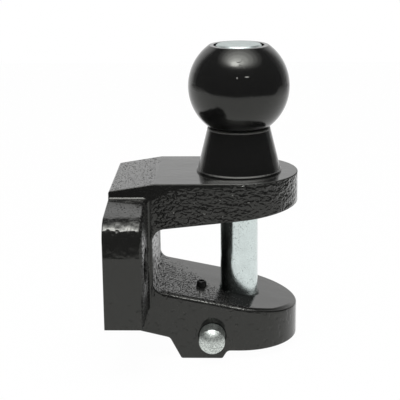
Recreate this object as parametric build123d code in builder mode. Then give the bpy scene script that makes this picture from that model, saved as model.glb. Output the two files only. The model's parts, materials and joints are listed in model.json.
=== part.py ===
"""Combination ball and pin hitch on a two-bolt flange.

Frame, in mm: the origin is the centre of the bolt pattern on the flange's mounting face, +X points out of the
flange towards the open end of the jaws, +Z is up along the pin, and -Y is the side with the push plunger.
"""
import os
from math import radians, sqrt, tan

from build123d import *

# Standard sizes
ball_dia = 50.0
pin_dia = 19.0
bolt_hole_dia = 17.0
bolt_y = 45.0
plunger_dia = 12.7
spring_pin_dia = 5.0

# Flange
flange_w = 124.0
flange_h = 52.0
flange_t = 18.6
wing_rise = 2.9
flange_upper_r = 10.0
flange_lower_r = 3.0
wing_edge_r = 2.0
wing_root_r = 1.2
back_edge_r = 1.2

# Jaws, seen from the side
jaw_w = 58.6
pin_x = 62.8
throat_x = 20.8
top_step = 3.5
top_slope_x = 22.3
top_slope_rise = 3.6
upper_t = 18.8
upper_taper_deg = 6.2
gap_at_pin = 44.0
lower_top_deg = 11.45
lower_t = 22.8
lower_under_deg = 13.6
throat_r_upper = 6.5
throat_r_lower = 5.0
cast_edge_r = 0.9
machined_edge_r = 0.5

# Boss under the lower jaw
boss_x0 = 34.3
boss_x1 = 54.7
boss_side_x0 = 28.6
boss_side_x1 = 57.2
boss_drop = 4.0
boss_root_r = 2.5
boss_edge_r = 1.2

# Ball and neck, heights above the jaw top
ball_centre_h = 42.4
ball_flat_dia = 29.3
neck_top_dia = 31.0
neck_ledge = 1.2
neck_foot_dia = 41.2
neck_edge_r = 0.5
collar_dia = 42.4
collar_h = 1.2
collar_edge_r = 0.5
flat_edge_r = 0.8

# Pin
pin_head_dia = 22.5
pin_head_h = 7.5
pin_head_proud = 0.4
pin_head_edge = 0.7
head_side_gap = 1.2
pin_tail_out = 2.5
pin_tail_chamfer = 2.0

# Push plunger, its spring and its spring pin
plunger_from_pin = 13.1
plunger_up = 8.1
plunger_out = 11.3
plunger_dome = 3.2
plunger_travel = 6.0
plunger_back_y = 8.5
bore_wall = 4.0
bore_mouth_chamfer = 0.6
spring_wire = 1.4
spring_dia = 10.4
spring_turns = 5.5
spring_pin_from_plunger = 5.9
spring_pin_y = -7.0
spring_pin_out = 2.7
spring_pin_len = 30.0
spring_pin_wall = 1.0
spring_pin_slit = 1.1
spring_pin_chamfer = 0.6

# Clearances
run_fit = 0.10
plunger_fit = 0.10
press_fit = 0.02
lock_fit = 0.30
stop_fit = 0.10
hole_chamfer = 0.8

# Derived sizes
ball_r = ball_dia / 2
pin_r = pin_dia / 2
plunger_r = plunger_dia / 2
spring_pin_r = spring_pin_dia / 2
jaw_r = jaw_w / 2
nose_x = pin_x + jaw_r
wing_y = flange_w / 2
wing_tip_z = flange_h / 2
wing_root_z = wing_tip_z + wing_rise
wing_in_y = 0.95 * jaw_r
wing_in_rise = wing_rise * (wing_y - wing_in_y) / (wing_y - jaw_r)
top_back_z = wing_root_z + top_step
jaw_top_z = top_back_z + top_slope_rise
upper_slope = tan(radians(upper_taper_deg))
lower_slope = tan(radians(lower_top_deg))
under_slope = tan(radians(lower_under_deg))
upper_under_z = jaw_top_z - upper_t
lower_top_z = upper_under_z - gap_at_pin
lower_under_z = lower_top_z - lower_t
plunger_x = pin_x - plunger_from_pin
plunger_z = lower_under_z + plunger_up
spring_pin_x = plunger_x - spring_pin_from_plunger
upper_nose_z = upper_under_z + upper_slope * jaw_r
lower_nose_z = lower_top_z - lower_slope * jaw_r
boss_z = lower_under_z - boss_drop
throat_top_z = upper_under_z - upper_slope * (pin_x - throat_x)
throat_low_z = lower_top_z + lower_slope * (pin_x - throat_x)
boss_side_z0 = lower_under_z + under_slope * (boss_side_x1 - boss_side_x0)
back_low_z = boss_side_z0 + under_slope * boss_side_x0
under_wall = -wing_root_z - back_low_z
root_fillet_r = min(wing_root_r, 0.4 * under_wall)
under_edge_r = min(cast_edge_r, 0.4 * under_wall)
ball_centre_z = jaw_top_z + ball_centre_h
ball_flat_r = ball_flat_dia / 2
ball_flat_z = ball_centre_z + sqrt(ball_r**2 - ball_flat_r**2)
neck_top_r = neck_top_dia / 2
collar_r = collar_dia / 2
neck_top_z = ball_centre_z - sqrt(ball_r**2 - (neck_top_r - neck_ledge) ** 2)
head_r = pin_head_dia / 2
head_top_z = ball_flat_z + pin_head_proud
head_low_z = head_top_z - pin_head_h
pin_tail_z = lower_under_z - pin_tail_out
release_x = pin_x - pin_r - lock_fit
release_half_y = sqrt(pin_r**2 - (pin_x - plunger_x - plunger_r) ** 2) + lock_fit
spring_pin_face_x = spring_pin_x + spring_pin_r + stop_fit
spring_pin_top_z = lower_top_z + lower_slope * (pin_x - spring_pin_x) + spring_pin_out
bore_end_y = jaw_r - bore_wall
head_y = -jaw_r - plunger_out

pin_axis = Axis((pin_x, 0, 0), (0, 0, 1))
plunger_axis = Axis((plunger_x, 0, plunger_z), (0, 1, 0))
plunger_plane = Plane(origin=(plunger_x, 0, plunger_z), x_dir=(0, 1, 0), z_dir=(1, 0, 0))
pin_plane = Plane(origin=(pin_x, 0, 0), x_dir=(1, 0, 0), z_dir=(0, -1, 0))

os.makedirs("parts", exist_ok=True)

# One casting: a solid side profile cut to a full-round plan, with the wings joined before the throat is cut
with BuildPart() as jaw_body:
    with BuildSketch(Plane.XZ) as side:
        with BuildLine():
            Polyline(
                (0, top_back_z),
                (top_slope_x, jaw_top_z),
                (nose_x, jaw_top_z),
                (nose_x, lower_under_z),
                (boss_side_x1, lower_under_z),
                (boss_x1, boss_z),
                (boss_x0, boss_z),
                (boss_side_x0, boss_side_z0),
                (0, back_low_z),
                close=True,
            )
        make_face()
        for place in ((boss_side_x0, boss_side_z0), (boss_side_x1, lower_under_z)):
            fillet(side.vertices().sort_by_distance((*place, 0))[0], boss_root_r)
        for place in ((boss_x0, boss_z), (boss_x1, boss_z)):
            fillet(side.vertices().sort_by_distance((*place, 0))[0], boss_edge_r)
        fillet(side.vertices().sort_by_distance((0, top_back_z, 0))[0], back_edge_r)
    extrude(amount=jaw_r, both=True)
    with BuildSketch(Plane.XY.offset(boss_z)):
        with Locations((pin_x / 2, 0)):
            Rectangle(pin_x, jaw_w)
        with Locations((pin_x, 0)):
            Circle(jaw_r)
    extrude(amount=jaw_top_z - boss_z, mode=Mode.INTERSECT)
    with BuildSketch(Plane.YZ) as outline:
        with BuildLine():
            Polyline(
                (wing_in_y, wing_tip_z + wing_in_rise),
                (wing_y, wing_tip_z),
                (wing_y, -wing_tip_z),
                (wing_in_y, -wing_tip_z - wing_in_rise),
                (-wing_in_y, -wing_tip_z - wing_in_rise),
                (-wing_y, -wing_tip_z),
                (-wing_y, wing_tip_z),
                (-wing_in_y, wing_tip_z + wing_in_rise),
                close=True,
            )
        make_face()
        tips = outline.vertices().filter_by(lambda v: abs(v.X) > jaw_r)
        fillet(tips.filter_by(lambda v: v.Y > 0), flange_upper_r)
        fillet(tips.filter_by(lambda v: v.Y < 0), flange_lower_r)
    extrude(amount=flange_t)
    # rounded front edges of the wings, then the fillets where the wings run into the jaws
    front = jaw_body.edges().filter_by_position(Axis.X, flange_t - 0.1, flange_t + 0.1)
    fillet(front.filter_by(lambda e: abs(e.center().Y) > jaw_r + 0.1), wing_edge_r)
    roots = jaw_body.edges().filter_by(lambda e: abs(abs(e.center().Y) - jaw_r) < 0.1)
    roots = roots.filter_by_position(Axis.X, 0, flange_t + 0.1)
    fillet(roots.filter_by_position(Axis.Z, -wing_root_z - 0.1, wing_root_z + 0.1), root_fillet_r)
    # the throat between the jaws
    with BuildSketch(Plane.XZ) as throat:
        with BuildLine():
            Polyline(
                (nose_x, upper_nose_z),
                (throat_x, throat_top_z),
                (throat_x, throat_low_z),
                (nose_x, lower_nose_z),
                close=True,
            )
        make_face()
        fillet(throat.vertices().sort_by_distance((throat_x, throat_top_z, 0))[0], throat_r_upper)
        fillet(throat.vertices().sort_by_distance((throat_x, throat_low_z, 0))[0], throat_r_lower)
    extrude(amount=wing_y, both=True, mode=Mode.SUBTRACT)
    # cast edges round the throat and under the lower jaw, and the crisper edge of the machined top
    lips = jaw_body.edges().filter_by_position(Axis.X, throat_x - 0.1, nose_x)
    lips = lips.filter_by_position(Axis.Z, lower_nose_z, upper_nose_z).filter_by(Axis.Y, reverse=True)
    upright = lips.filter_by(Axis.Z).filter_by_position(Axis.X, throat_x - 0.1, throat_x + 0.1)
    fillet(lips.filter_by(Axis.Z, reverse=True) + upright, cast_edge_r)
    rims = jaw_body.edges().filter_by(Axis.Y, reverse=True).filter_by(Axis.Z, reverse=True)
    fillet(rims.filter_by_position(Axis.Z, boss_z - 1, back_low_z), under_edge_r)
    rims = jaw_body.edges().filter_by(Axis.Y, reverse=True).filter_by(Axis.Z, reverse=True)
    fillet(rims.filter_by_position(Axis.Z, top_back_z, jaw_top_z + 1), machined_edge_r)
    # bores for the pin, the plunger, the spring pin and the mounting bolts
    with BuildSketch(Plane.XY.offset(jaw_top_z)):
        with Locations((pin_x, 0)):
            Circle(pin_r + run_fit)
    extrude(amount=boss_z - jaw_top_z, mode=Mode.SUBTRACT)
    bores = jaw_body.edges().filter_by(lambda e: abs(e.bounding_box().size.Y - pin_dia - 2 * run_fit) < 0.1)
    chamfer(bores, hole_chamfer)
    with BuildSketch(Plane.XZ.offset(jaw_r)):
        with Locations((plunger_x, plunger_z)):
            Circle(plunger_r + plunger_fit)
    extrude(amount=-jaw_r - bore_end_y, mode=Mode.SUBTRACT)
    mouth = jaw_body.edges().filter_by(GeomType.CIRCLE).filter_by_position(Axis.Y, -jaw_r - 0.1, -jaw_r + 0.1)
    chamfer(mouth.sort_by_distance((plunger_x, -jaw_r, plunger_z))[0], bore_mouth_chamfer)
    with BuildSketch(Plane.XY.offset(boss_z)):
        with Locations((spring_pin_x, spring_pin_y)):
            Circle(spring_pin_r + press_fit)
    extrude(amount=jaw_top_z - upper_t - boss_z - gap_at_pin / 2, mode=Mode.SUBTRACT)
    with BuildSketch(Plane.YZ):
        with GridLocations(2 * bolt_y, 0, 2, 1):
            Circle(bolt_hole_dia / 2)
    extrude(amount=flange_t, mode=Mode.SUBTRACT)
    rims = jaw_body.edges().filter_by_position(Axis.X, flange_t - 0.1, flange_t + 0.1)
    chamfer(rims.filter_by(GeomType.CIRCLE).filter_by(lambda e: e.is_closed), hole_chamfer)
jaw_body.part.label = "jaw_body"
export_step(jaw_body.part, "parts/jaw_body.step")

# Ball and neck in one turning, counterbored for the head of the pin
with BuildPart() as ball:
    with BuildSketch(pin_plane) as turning:
        with BuildLine():
            Polyline(
                (ball_flat_r, ball_flat_z),
                (head_r + head_side_gap, ball_flat_z),
                (head_r + head_side_gap, head_low_z),
                (pin_r + run_fit, head_low_z),
                (pin_r + run_fit, jaw_top_z),
                (collar_r, jaw_top_z),
                (collar_r, jaw_top_z + collar_h),
                (neck_foot_dia / 2, jaw_top_z + collar_h),
                (neck_top_r, neck_top_z),
                (neck_top_r - neck_ledge, neck_top_z),
            )
            ThreePointArc(
                (neck_top_r - neck_ledge, neck_top_z),
                (ball_r, ball_centre_z),
                (ball_flat_r, ball_flat_z),
            )
        make_face()
        fillet(turning.vertices().sort_by_distance((neck_top_r, neck_top_z, 0))[0], neck_edge_r)
        fillet(turning.vertices().sort_by_distance((ball_flat_r, ball_flat_z, 0))[0], flat_edge_r)
        fillet(turning.vertices().sort_by_distance((collar_r, jaw_top_z + collar_h, 0))[0], collar_edge_r)
    revolve(axis=pin_axis)
ball.part.label = "ball"
export_step(ball.part, "parts/ball.step")

# Headed pin with the round groove that the plunger locks into
with BuildPart() as pin:
    with BuildSketch(pin_plane):
        with BuildLine():
            Polyline(
                (0, head_top_z),
                (head_r - pin_head_edge, head_top_z),
                (head_r, head_top_z - pin_head_edge),
                (head_r, head_low_z),
                (pin_r, head_low_z),
                (pin_r, pin_tail_z + pin_tail_chamfer),
                (pin_r - pin_tail_chamfer, pin_tail_z),
                (0, pin_tail_z),
                close=True,
            )
        make_face()
        with Locations((plunger_x - pin_x, plunger_z), (pin_x - plunger_x, plunger_z)):
            Circle(plunger_r + lock_fit, mode=Mode.SUBTRACT)
    revolve(axis=pin_axis)
pin.part.label = "pin"
export_step(pin.part, "parts/pin.step")

# Plunger with a release flat towards the pin and a stop flat, on the far side, for the spring pin
with BuildPart() as lock_plunger:
    with BuildSketch(plunger_plane):
        with BuildLine():
            TangentArc((head_y, 0), (head_y + plunger_dome, plunger_r), tangent=(0, 1))
            Polyline(
                (head_y + plunger_dome, plunger_r),
                (plunger_back_y, plunger_r),
                (plunger_back_y, 0),
                (head_y, 0),
            )
        make_face()
    revolve(axis=plunger_axis)
    chamfer(lock_plunger.edges().filter_by(GeomType.CIRCLE).sort_by(Axis.Y)[-1], bore_mouth_chamfer)
    with BuildSketch(Plane.XY.offset(plunger_z)):
        with Locations((release_x, release_half_y - plunger_travel)):
            Rectangle(plunger_dia, 2 * release_half_y, align=(Align.MIN, Align.MAX))
        with Locations((spring_pin_face_x, spring_pin_y + spring_pin_r + stop_fit)):
            Rectangle(plunger_dia, spring_pin_dia + plunger_travel + 2 * stop_fit, align=(Align.MAX, Align.MAX))
    extrude(amount=plunger_r, both=True, mode=Mode.SUBTRACT)
lock_plunger.part.label = "lock_plunger"
export_step(lock_plunger.part, "parts/lock_plunger.step")

# Compression spring between the plunger and the end of its bore, with ground ends
with BuildPart() as plunger_spring:
    with BuildLine():
        coil = Helix(
            (bore_end_y - plunger_back_y) / spring_turns,
            bore_end_y - plunger_back_y,
            (spring_dia - spring_wire) / 2,
            center=(plunger_x, plunger_back_y, plunger_z),
            direction=(0, 1, 0),
        )
    with BuildSketch(coil ^ 0):
        Circle(spring_wire / 2)
    sweep(is_frenet=True)
    with BuildSketch(Plane.XZ.offset(-plunger_back_y)):
        with Locations((plunger_x, plunger_z)):
            Circle(plunger_r)
    extrude(amount=plunger_back_y - bore_end_y, mode=Mode.INTERSECT)
plunger_spring.part.label = "plunger_spring"
export_step(plunger_spring.part, "parts/plunger_spring.step")

# Slotted spring pin
with BuildPart() as plunger_retaining_pin:
    with BuildSketch(Plane.XY.offset(spring_pin_top_z)):
        with Locations((spring_pin_x, spring_pin_y)):
            Circle(spring_pin_r)
    extrude(amount=-spring_pin_len)
    chamfer(plunger_retaining_pin.edges().filter_by(GeomType.CIRCLE), spring_pin_chamfer)
    with BuildSketch(Plane.XY.offset(spring_pin_top_z)):
        with Locations((spring_pin_x, spring_pin_y)):
            Circle(spring_pin_r - spring_pin_wall)
            Rectangle(spring_pin_dia, spring_pin_slit, align=(Align.MAX, Align.CENTER))
    extrude(amount=-spring_pin_len, mode=Mode.SUBTRACT)
plunger_retaining_pin.part.label = "plunger_retaining_pin"
export_step(plunger_retaining_pin.part, "parts/plunger_retaining_pin.step")
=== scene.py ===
import json
from math import cos, sin

import bpy
from mathutils import Matrix, Vector


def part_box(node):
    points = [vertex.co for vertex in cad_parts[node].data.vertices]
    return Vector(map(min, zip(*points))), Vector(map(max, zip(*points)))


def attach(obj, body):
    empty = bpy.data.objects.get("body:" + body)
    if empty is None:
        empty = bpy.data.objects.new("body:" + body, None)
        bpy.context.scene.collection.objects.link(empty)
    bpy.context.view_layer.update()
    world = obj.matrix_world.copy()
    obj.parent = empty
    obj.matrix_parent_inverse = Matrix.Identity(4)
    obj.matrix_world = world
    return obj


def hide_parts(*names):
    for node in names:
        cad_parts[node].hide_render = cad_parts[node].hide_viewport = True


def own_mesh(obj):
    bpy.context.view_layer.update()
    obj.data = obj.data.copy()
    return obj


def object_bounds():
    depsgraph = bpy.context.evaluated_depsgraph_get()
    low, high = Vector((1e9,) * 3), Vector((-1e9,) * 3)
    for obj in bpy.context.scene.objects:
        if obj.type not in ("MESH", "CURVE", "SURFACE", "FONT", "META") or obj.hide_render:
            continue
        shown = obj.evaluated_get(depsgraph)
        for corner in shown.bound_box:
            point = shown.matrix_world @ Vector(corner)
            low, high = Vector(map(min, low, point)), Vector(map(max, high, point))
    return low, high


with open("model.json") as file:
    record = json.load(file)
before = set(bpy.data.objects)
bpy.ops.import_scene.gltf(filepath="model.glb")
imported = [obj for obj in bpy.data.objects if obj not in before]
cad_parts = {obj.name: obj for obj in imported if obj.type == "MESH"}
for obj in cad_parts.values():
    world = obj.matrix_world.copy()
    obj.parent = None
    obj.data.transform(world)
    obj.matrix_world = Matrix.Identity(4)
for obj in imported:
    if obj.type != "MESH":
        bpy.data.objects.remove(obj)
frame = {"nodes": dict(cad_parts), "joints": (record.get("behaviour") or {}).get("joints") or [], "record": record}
cad_low, cad_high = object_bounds()
nodes = frame["nodes"]
mounts = {mount["name"]: mount for mount in frame["record"]["mounts"]}
drawbar = mounts["drawbar_pin"]
jaw_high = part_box("jaw_body")[1]
MM = 1000.0

# Places and sizes on the part that the finishes go by, in millimetres
FLANGE_T = 18.6
WING_END = jaw_high.y * MM
JAW_HALF = 29.3
JAW_TOP = jaw_high.z * MM
LOWER_TOP = drawbar["pos_m"][2] * MM - drawbar["dims"]["length_mm"] / 2
LOWER_SLOPE = 0.2026
PIN_X = drawbar["pos_m"][0] * MM
PIN_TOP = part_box("pin")[1].z * MM
BALL_AT = Vector(mounts["ball"]["pos_m"]) * MM
NECK_TOP = BALL_AT.z - 20.8
COLLAR_TOP = JAW_TOP + 1.0

# Shader values that finishes share
PAINT_IOR = 1.5
BLACK_GLOSS = {"IOR": PAINT_IOR, "Specular Tint": (0.99, 1.0, 0.94, 1)}
METAL = {"Metallic": 1.0}
WHITE = (1, 1, 1, 1)

# The studio's sheets, in metres
FLOOR_Z = cad_low.z
FRONT, BACK, LEFT, RIGHT, HIGH = -0.45, 0.9, -1.9, 2.0, 1.6


class Wire:
    """A shader output that takes part in Python arithmetic; each operator adds one Math node."""

    def __init__(self, finish, socket):
        self.finish = finish
        self.socket = socket

    def math(self, operation, *values):
        return self.finish.add("Math", {"operation": operation}, dict(enumerate(values)))

    def __add__(self, other):
        return self.math("ADD", self, other)

    def __radd__(self, other):
        return self.math("ADD", other, self)

    def __sub__(self, other):
        return self.math("SUBTRACT", self, other)

    def __rsub__(self, other):
        return self.math("SUBTRACT", other, self)

    def __mul__(self, other):
        return self.math("MULTIPLY", self, other)

    def __rmul__(self, other):
        return self.math("MULTIPLY", other, self)

    def __truediv__(self, other):
        return self.math("DIVIDE", self, other)

    def __abs__(self):
        return self.math("ABSOLUTE", self)

    def root(self):
        return self.math("SQRT", self)

    def sign(self):
        return self.math("SIGN", self)

    def low(self, other):
        return self.math("MINIMUM", self, other)

    def high(self, other):
        return self.math("MAXIMUM", self, other)

    def fade(self, start, end):
        """0 before start, 1 past end, smooth between."""
        settings = {"interpolation_type": "SMOOTHSTEP"}
        return self.finish.add("MapRange", settings, {"Value": self, "From Min": start, "From Max": end})

    def until(self, start, end):
        """1 before start, 0 past end, smooth between."""
        return 1 - self.fade(start, end)


class Finish:
    """The node tree of one material, or of the world."""

    def __init__(self, name, owners="materials"):
        self.owner = getattr(bpy.data, owners).new(name)
        self.owner.use_nodes = True
        self.tree = self.owner.node_tree
        self.tree.nodes.clear()

    def add(self, kind, settings=None, values=None, out=0):
        """Adds any node: settings are its own properties, values its inputs. Gives one of its outputs."""
        node = self.tree.nodes.new("ShaderNode" + kind)
        for key, value in (settings or {}).items():
            setattr(node, key, value)
        for key, value in (values or {}).items():
            socket = node.inputs[key]
            if isinstance(value, Wire):
                self.tree.links.new(value.socket, socket)
            else:
                socket.default_value = value
        return Wire(self, node.outputs[out]) if node.outputs else None

    def place(self):
        """The point on the piece, in millimetres, whole and as X, Y and Z."""
        point = self.add("TexCoord", out="Object")
        point = self.add("VectorMath", {"operation": "SCALE"}, {0: point, "Scale": MM})
        return (point, *self.parts(point))

    def parts(self, vector):
        """A vector's X, Y and Z."""
        split = self.add("SeparateXYZ", None, {0: vector})
        return [Wire(self, socket) for socket in split.socket.node.outputs]

    def normal(self):
        return self.add("NewGeometry", out="Normal")

    def rays(self, *kinds):
        """For each kind of ray, 1 where the light path is of that kind."""
        path = self.add("LightPath")
        return [Wire(self, path.socket.node.outputs[kind]) for kind in kinds]

    def noise(self, point, size, detail=2.0, stretch=(1, 1, 1), distortion=0.0, rough=0.5):
        """Soft noise from 0 to 1 with lumps about size millimetres long, stretched along X, Y and Z."""
        scale = [1 / (size * longer) for longer in stretch]
        scaled = self.add("Mapping", None, {"Vector": point, "Scale": scale})
        shape = {"Scale": 1.0, "Detail": detail, "Distortion": distortion, "Roughness": rough}
        return self.add("TexNoise", None, {"Vector": scaled, **shape})

    def near(self, point, centre, reach):
        """1 at a place on the piece, falling to 0 at a reach given along X, Y and Z."""
        gap = self.add("VectorMath", {"operation": "SUBTRACT"}, {0: point, 1: centre})
        gap = self.add("VectorMath", {"operation": "DIVIDE"}, {0: gap, 1: reach})
        return self.add("VectorMath", {"operation": "LENGTH"}, {0: gap}, out="Value").until(0.3, 1.0)

    def blend(self, factor, first, second):
        """A colour that goes from first to second."""
        colours = {0: factor, 6: (*first, 1), 7: (*second, 1)}
        return self.add("Mix", {"data_type": "RGBA"}, colours, out=2)

    def surface(self, fixed, colour, roughness, height, tilt=None):
        """Ends the tree in a Principled shader. Height is in millimetres; tilt is added to the normal."""
        relief = {"Height": height, "Distance": 1 / MM, "Strength": 1.0}
        if tilt:
            tilt = self.add("CombineXYZ", None, dict(enumerate(tilt)))
            leaning = self.add("VectorMath", {"operation": "ADD"}, {0: self.normal(), 1: tilt})
            relief["Normal"] = self.add("VectorMath", {"operation": "NORMALIZE"}, {0: leaning})
        varied = {"Base Color": colour, "Roughness": roughness, "Normal": self.add("Bump", None, relief)}
        return self.end("OutputMaterial", self.add("BsdfPrincipled", None, {**fixed, **varied}))

    def end(self, output, shader):
        self.add(output, None, {"Surface": shader})
        return self.owner


class CastPaint(Finish):
    """Gloss black over a rough casting. Each method gives one feature of its skin: masks, then any relief.
    A feature's place is measured from the flange, the pin, the jaws' tops and sides, or the wings' ends."""

    def __init__(self):
        super().__init__("cast_black_paint")
        self.point, x, self.y, self.z = self.place()
        self.nx, self.ny, self.nz = self.parts(self.normal())
        self.past_flange = x - FLANGE_T
        self.past_pin = x - PIN_X
        self.past_side = abs(self.y) - JAW_HALF
        self.from_end = WING_END - abs(self.y)
        self.from_top = JAW_TOP - self.z
        self.over_lower = self.z - LOWER_TOP
        self.uneven = self.noise(self.point, 7.0) - 0.5
        self.upright = abs(self.nz).until(0.35, 0.75)
        self.lying = self.nz.fade(0.5, 0.9)
        self.wing = self.past_side.fade(-0.3, 1.7) * self.past_flange.until(0.4, 2.4)
        # the way out from the jaws' middle line, which ends at the pin
        ahead = self.past_pin.high(0.0)
        self.out = (ahead * ahead + self.y * self.y).root()
        self.out_x = ahead / self.out
        self.out_y = self.y / self.out

    def rippled_side(self):
        """The upper jaw's sides are rippled, less so in a patch near the nose. They lean in under the top
        edge, deepest beside the flange, where the ripples fade."""
        upper_jaw = self.from_top.until(24.0, 27.0)
        side = self.upright * upper_jaw * self.past_flange.fade(1.4, 7.4)
        patch_along = (self.past_pin + self.uneven * 12.0).fade(1.2, 9.2) * self.past_pin.until(17.2, 24.2)
        patch_down = (self.from_top - self.uneven * 6.0).fade(8.0, 14.0)
        lean_rise = (self.past_flange - 3.4).high(0.0) * 0.45
        lean_at_flange = 8.0 - self.uneven * 2.0
        lean_at_nose = 2.3 - self.uneven
        above_lean = (lean_at_flange - lean_rise).high(lean_at_nose) - self.from_top
        beside_jaw = abs(self.ny).fade(0.3, 0.6) * self.past_side.until(2.7, 4.7)
        lean = above_lean.high(0.0) * self.upright * beside_jaw
        calm = above_lean.fade(-0.4, 0.6) * self.past_pin.until(-10.8, -2.8)
        ripple = self.noise(self.point, 1.32, detail=0.4, stretch=(2.0, 2.0, 1.3), distortion=0.9) - 0.5
        ripple = ripple * side * (1 - 0.75 * patch_along * patch_down) * (1 - 0.8 * calm)
        ripple_mm = 0.92 + 0.3 * self.nx.fade(0.2, 0.8)
        lean_slope = 0.13
        return side, ripple * ripple_mm - lean * lean_slope

    def wing_shoulder(self):
        """The wings' end faces are crowned above the middle, up to a lumpy rounded shoulder."""
        end_face = self.from_end.until(4.0, 8.0) * self.nz.until(0.2, 0.5)
        crown = (self.z - 9.0 - self.uneven).high(0.0) * end_face
        crown_slope = 0.085
        high_up = (self.z + self.uneven * 2.5).fade(15.5, 18.0)
        shoulder = self.from_end.until(9.0, 12.0) * high_up * self.nx.until(0.2, 0.6)
        lumps = self.noise(self.point, 3.6, detail=1.0) - 0.5
        lump_mm = 0.05 + 0.5 * self.from_end.until(6.0, 12.0) * self.nz.fade(0.1, 0.4)
        return shoulder, lumps * lump_mm - crown * crown_slope

    def worn_edge(self):
        """The lower jaw's top edge is worn round on the plunger's side, and its middle catches the light."""
        lower_jaw = self.past_flange.fade(3.4, 7.4) * self.over_lower.until(12.8, 15.8)
        plunger_side = (0 - self.y).fade(4.0, 14.0)
        worn = lower_jaw * plunger_side
        below_edge = 0 - self.past_pin * LOWER_SLOPE - self.over_lower
        just_below = below_edge.fade(0.5, 0.8) * below_edge.until(1.5, 2.1)
        under = just_below * self.upright * lower_jaw * self.nx.until(0.75, 0.95)
        near_edge = (self.out + self.uneven * 1.4).fade(JAW_HALF - 3.7, JAW_HALF - 2.7)
        over = self.nz.fade(0.93, 0.97) * near_edge * worn
        rounded = self.nz.fade(0.2, 0.35) * self.nz.until(0.9, 0.97) * worn
        from_back = (self.past_flange + self.uneven * 16.0).fade(7.4, 17.4)
        to_nose = (self.past_pin + self.uneven * 12.0).until(-0.8, 11.2)
        return under, over, rounded * from_back * to_nose

    def throat(self):
        """The throat's back wall is grainy, and its foot turns up to the light."""
        wall = self.nx.fade(0.3, 0.8) * self.past_flange.fade(-2.6, -0.6) * self.past_flange.until(5.4, 9.4)
        foot = wall * (self.over_lower + self.uneven * 6.0).until(15.8, 22.8)
        grain = self.noise(self.point, 0.8, detail=1.2, stretch=(1, 7, 1), rough=0.6)
        grain = (grain + (wall - 1) * 0.3).fade(0.5, 0.6)
        grain_mm = 0.1
        return wall, foot, grain, grain * -grain_mm

    def pitted_top(self):
        """The back slope, the wings' tops and the back half of the lower jaw's top are pitted."""
        back_half = (self.past_pin + self.y * 0.8 + self.uneven * 30.0).until(-28.8, -2.8)
        lower_top = self.nz.fade(0.2, 0.6) * self.over_lower.until(12.8, 17.8) * back_half
        behind = (self.past_flange + self.uneven * 8.0).until(1.4, 6.4)
        back_slope = self.lying * self.from_top.until(4.5, 6.0) * behind
        wing_top = self.lying * self.wing
        pitted = (lower_top + 0.7 * back_slope + 0.5 * wing_top).low(1.0)
        pits = self.noise(self.point, 0.78, detail=1.2, stretch=(1, 1.6, 1), rough=0.6)
        pits = (pits + (pitted - 1) * 0.3).fade(0.46, 0.57)
        waves = (self.noise(self.point, 1.6, detail=1.0) - 0.5) * pitted
        wave_mm = 0.12
        pit_mm = 0.24
        return pits, waves * wave_mm - pits * pit_mm

    def calm_skin(self):
        """A slow flow over all of the paint, and a few dents in the lower jaw's sides."""
        flow = self.noise(self.point, 20.0, detail=1.0) - 0.5
        lower_side = self.upright * self.over_lower.until(12.8, 16.8)
        dents = self.noise(self.point, 2.4, detail=0.0).fade(0.66, 0.72) * lower_side
        flow_mm = 0.2
        dent_mm = 0.12
        return flow * flow_mm - dents * dent_mm


def cast_black_paint():
    """Puts the features of the casting's paint together."""
    paint = CastPaint()
    side, side_height = paint.rippled_side()
    shoulder, wing_height = paint.wing_shoulder()
    under_edge, over_edge, glint = paint.worn_edge()
    throat, throat_foot, grain, throat_height = paint.throat()
    pits, pit_height = paint.pitted_top()
    height = side_height + wing_height + throat_height + pit_height + paint.calm_skin()
    # fine specks everywhere, and a paler grey band on the upper jaw's top beside the ball's collar
    specks = paint.noise(paint.point, 0.9).fade(0.66, 0.74)
    plate_top = paint.lying * paint.from_top.until(0.4, 1.0)
    along_collar = paint.past_pin.fade(-18.8, -10.8) * paint.past_pin.until(3.2, 17.2)
    pale_band = plate_top * paint.out.fade(21.5, 23.0) * along_collar
    black = (0.011, 0.011, 0.0105)
    pale_grey = (0.11, 0.11, 0.105)
    colour = paint.blend((specks * 0.1 + pale_band).low(1.0), black, pale_grey)
    # glossiest on the rippled sides, dullest in the grain, in the pits and along the top edge
    top_edge = paint.from_top.until(0.5, 0.9) * paint.nz.until(0.9, 0.99)
    smooth = 0.09 - 0.04 * side + 0.05 * plate_top + 0.03 * paint.wing * paint.nz.fade(0.6, 0.8)
    rough = 0.13 * throat + 0.4 * top_edge + 0.06 * specks + 0.5 * pits * paint.lying + 0.5 * grain
    # the normal leans out over the worn edge and on the wings' tops, and up where light falls from above
    wing_lean = (0.13 - 0.1 * paint.past_side.fade(0.7, 16.7)) * paint.lying * paint.wing * paint.y.sign()
    edge_lean = over_edge * 0.5 + glint * 1.5
    lift = 0.14 * shoulder + 0.16 * under_edge + 1.5 * glint + 0.35 * throat_foot
    tilt = (paint.out_x * edge_lean, paint.out_y * edge_lean + wing_lean, lift)
    return paint.surface(BLACK_GLOSS, colour, smooth + rough, height, tilt)


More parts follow.
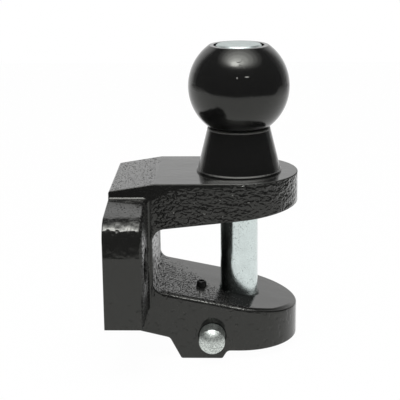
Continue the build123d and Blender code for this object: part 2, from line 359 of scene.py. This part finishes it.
def ball_black_paint():
    """Thin gloss black on the turned ball, with faint turning marks, two chips and a crack."""
    paint = Finish("ball_black_paint")
    point, _, y, z = paint.place()
    drift = paint.noise(point, 16.0, detail=1.0)
    turning = paint.noise(point, 1.2, detail=1.0, stretch=(40, 40, 0.8))
    scuff = paint.noise(point, 0.8, distortion=1.0)
    # the chips are high on the plunger's side, and the crack in the paint is above them
    round_chip = paint.near(point, BALL_AT + Vector((-0.7, -23.7, 7.9)), reach=(0.5, 1.0, 0.6))
    long_chip = paint.near(point, BALL_AT + Vector((3.9, -23.2, 8.3)), reach=(1.7, 1.0, 0.42))
    chips = ((round_chip + long_chip) * (0.2 + scuff * 1.4)).fade(0.35, 0.7)
    cracked = paint.near(point, BALL_AT + Vector((1.2, -20.3, 14.2)), reach=(3.0, 3.0, 3.0))
    crack = abs(paint.noise(point, 3.0, detail=1.0) - 0.5).until(0.01, 0.03) * cracked
    # painted highlights: the neck's top edge is painted lighter in places as a highlight, and so is the collar's
    # top edge on the plunger's side, where it faces the light
    neck_painted_highlight = abs(z - NECK_TOP).until(0.3, 0.7) * (drift + scuff * 0.6).fade(0.4, 0.7)
    collar_painted_highlight = abs(z - COLLAR_TOP).until(0.25, 0.5) * (scuff * 8.0 - y).fade(16.0, 24.0)
    painted_edge_highlights = neck_painted_highlight + collar_painted_highlight
    black = (0.008, 0.008, 0.008)
    # the chips' bare grey, which also paints the highlights on the neck's and collar's edges
    chip_and_highlight_grey = (0.3, 0.3, 0.285)
    colour = paint.blend((chips + painted_edge_highlights * 0.6).low(1.0), black, chip_and_highlight_grey)
    roughness = 0.12 + drift * 0.05 + chips * 0.2 + painted_edge_highlights * 0.2
    turning_mm, drift_mm, chip_mm, crack_mm = 0.004, 0.05, 0.04, 0.12
    height = turning * turning_mm + drift * drift_mm - chips * chip_mm - crack * crack_mm
    return paint.surface(BLACK_GLOSS, colour, roughness, height)


def zinc_plate(name, tint, crystal_mm, mottle, satin, dull, dull_above=cad_high.z * MM):
    """Bright zinc plate: a bluish metal with a crystal mottle and small dark specks. Its darkest tone is the
    tint times dull, satin is its least roughness, and it is handled dull above a height in millimetres."""
    plate = Finish(name)
    point, _, _, z = plate.place()
    cloud = plate.noise(point, 5.0, detail=3.0)
    crystals = plate.noise(point, crystal_mm, rough=0.6)
    specked = plate.noise(point, 6.0).fade(0.42, 0.6)
    specks = plate.noise(point, 0.8, detail=1.0).fade(0.57, 0.66) * specked
    worn = (z - dull_above).fade(0.0, 0.4)
    shade = 0.35 + 0.6 * cloud + (crystals - 0.5) * mottle - specks * 0.8 - worn * 0.25
    darkest = [part * dull for part in tint]
    colour = plate.blend(shade.high(0.0).low(1.0), darkest, tint)
    roughness = satin + cloud * 0.08 + crystals * 0.1 + worn * 0.25
    relief_mm = 0.02
    return plate.surface(METAL, colour, roughness, (crystals + cloud) * relief_mm)


def pin_zinc():
    tint = (0.715, 0.795, 0.78)
    head_face = PIN_TOP - 0.86
    look = {"crystal_mm": 0.6, "mottle": 0.9, "satin": 0.08, "dull": 0.62}
    return zinc_plate("pin_zinc", tint, **look, dull_above=head_face)


def plunger_zinc():
    tint = (0.75, 0.8, 0.76)
    look = {"crystal_mm": 0.7, "mottle": 3.0, "satin": 0.38, "dull": 0.36}
    return zinc_plate("plunger_zinc", tint, **look)


def spring_pin_paint():
    """Thin satin black on the slotted spring pin."""
    paint = Finish("spring_pin_paint")
    point = paint.place()[0]
    grain = paint.noise(point, 0.9)
    colour = paint.blend(grain, (0.012, 0.012, 0.012), (0.03, 0.03, 0.028))
    grain_mm = 0.03
    return paint.surface({"IOR": PAINT_IOR}, colour, 0.3 + grain * 0.2, grain * grain_mm)


def spring_wire():
    """Plain drawn steel."""
    wire = Finish("spring_wire")
    point = wire.place()[0]
    drawn = wire.noise(point, 0.8)
    colour = wire.blend(drawn, (0.2, 0.2, 0.21), (0.42, 0.42, 0.44))
    drawn_mm = 0.01
    return wire.surface(METAL, colour, 0.28 + drawn * 0.15, drawn * drawn_mm)


def dress(node, material):
    mesh = nodes[node].data
    mesh.materials.clear()
    mesh.materials.append(material)


def return_spring():
    """The coil spring behind the plunger, which in the real part shortens against its bore's end as the plunger is
    pushed; here a copy of it rides with the jaw at its full length.
    """
    low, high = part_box("plunger_spring")
    push = next(joint for joint in frame["joints"] if joint["name"] == "plunger_push")
    spring = bpy.data.objects.new("return_spring", nodes["plunger_spring"].data.copy())
    bpy.context.scene.collection.objects.link(spring)
    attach(spring, "jaw")
    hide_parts("plunger_spring")
    1 - push["range_m"][1] / (high.y - low.y)
    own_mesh(spring)


def studio_white(name, camera_share, half_width, height):
    """White to the camera and in reflections, plain white card to other light; it dims towards its edges."""
    card = Finish(name)
    across, _, up = card.parts(card.add("TexCoord", out="Object"))
    seen, glossy, through = card.rays("Is Camera Ray", "Is Glossy Ray", "Is Transmission Ray")
    middle = -0.12
    lit_across = abs(across - middle).until(half_width * 0.5, half_width)
    lit = lit_across * up.until(height * 0.55, height)
    plain = card.add("BsdfDiffuse", None, {"Color": (0.95, 0.95, 0.95, 1)})
    glow = card.add("Emission", None, {"Color": WHITE, "Strength": 1.0})
    share = seen * camera_share + (glossy + through).low(1.0) * lit
    return card.end("OutputMaterial", card.add("MixShader", None, {0: share.low(1.0), 1: plain, 2: glow}))


def sheet(name, corners, material):
    mesh = bpy.data.meshes.new(name)
    mesh.from_pydata(corners, [], [list(range(len(corners)))])
    mesh.materials.append(material)
    card = bpy.data.objects.new(name, mesh)
    bpy.context.scene.collection.objects.link(card)


def floor():
    """A white floor with a bowed front edge."""
    left_bow = [(LEFT, 0.0), (-0.5, -0.3), (-0.2, FRONT)]
    right_bow = [(0.3, FRONT), (0.48, -0.3), (0.62, 0.0), (RIGHT, 0.4)]
    outline = [*left_bow, *right_bow, (RIGHT, BACK), (LEFT, BACK)]
    far_above = 9.0
    white = studio_white("floor_white", camera_share=0.98, half_width=0.8, height=far_above)
    sheet("floor", [(x, y, FLOOR_Z) for x, y in outline], white)


def backdrop():
    """An upright white sheet along the floor's back edge."""
    outline = [(LEFT, FLOOR_Z), (RIGHT, FLOOR_Z), (RIGHT, HIGH), (LEFT, HIGH)]
    white = studio_white("back_white", camera_share=1.0, half_width=1.2, height=HIGH)
    sheet("backdrop", [(x, BACK, z) for x, z in outline], white)


def softbox(name, place, size, power):
    """One elliptical ring of the softbox, facing down and a little back."""
    lamp = bpy.data.lights.new(name, "AREA")
    lamp.shape = "ELLIPSE"
    lamp.size, lamp.size_y = size
    lamp.energy = power
    box = bpy.data.objects.new(name, lamp)
    box.location = place
    x, y, _ = place
    aimed_back = 0.04
    target = Vector((x, y + aimed_back, 0.0))
    box.rotation_euler = (target - Vector(place)).to_track_quat("-Z", "Y").to_euler()
    bpy.context.scene.collection.objects.link(box)


def overhead_light():
    """One overhead softbox, brighter towards its middle: each ring's place, size and power."""
    softbox("softbox_glow", (0.14, -0.3, 1.22), (2.0, 1.5), 3.4)
    softbox("softbox_rim", (0.11, -0.34, 1.2), (1.55, 1.15), 4.4)
    softbox("softbox_outer", (0.07, -0.4, 1.18), (1.2, 0.88), 4.2)
    softbox("softbox_field", (0.02, -0.47, 1.16), (0.88, 0.64), 3.1)
    softbox("softbox_inner", (-0.03, -0.54, 1.14), (0.6, 0.44), 1.9)
    softbox("softbox_heart", (-0.08, -0.6, 1.12), (0.34, 0.26), 1.35)


def studio_room():
    """White behind all that the camera sees, and a dim room to other light."""
    room = Finish("studio", "worlds")
    [seen] = room.rays("Is Camera Ray")
    white = room.add("Background", None, {"Color": WHITE})
    dim = room.add("Background", None, {"Color": (0.1, 0.1, 0.1, 1)})
    picked = room.add("MixShader", None, {0: seen, 1: dim, 2: white})
    bpy.context.scene.world = room.end("OutputWorld", picked)


def photo_camera():
    """The camera fitted to the photograph: its place and its turns, in radians, in the part's own frame."""
    place = (0.06557, -0.604, 0.18647)
    yaw, pitch, roll = -0.0371, 0.2685, -0.0099
    sensor_mm = 36.0
    lens_mm = 111.82
    ahead = Vector((sin(yaw) * cos(pitch), cos(yaw) * cos(pitch), -sin(pitch)))
    right = Vector((cos(yaw), -sin(yaw), 0))
    up = right.cross(ahead)
    across = right * cos(roll) + up * sin(roll)
    over = up * cos(roll) - right * sin(roll)
    lens = bpy.data.cameras.new("photo_camera")
    lens.sensor_width = sensor_mm
    lens.lens = lens_mm
    camera = bpy.data.objects.new("photo_camera", lens)
    turn = Matrix((across, over, -ahead)).transposed().to_4x4()
    camera.matrix_world = Matrix.Translation(place) @ turn
    bpy.context.scene.collection.objects.link(camera)
    bpy.context.scene.camera = camera


dress("jaw_body", cast_black_paint())
dress("plunger_retaining_pin", spring_pin_paint())
dress("ball", ball_black_paint())
dress("pin", pin_zinc())
dress("lock_plunger", plunger_zinc())
dress("plunger_spring", spring_wire())
return_spring()
floor()
backdrop()
overhead_light()
studio_room()
photo_camera()
bpy.context.scene.view_settings.view_transform = "Standard"
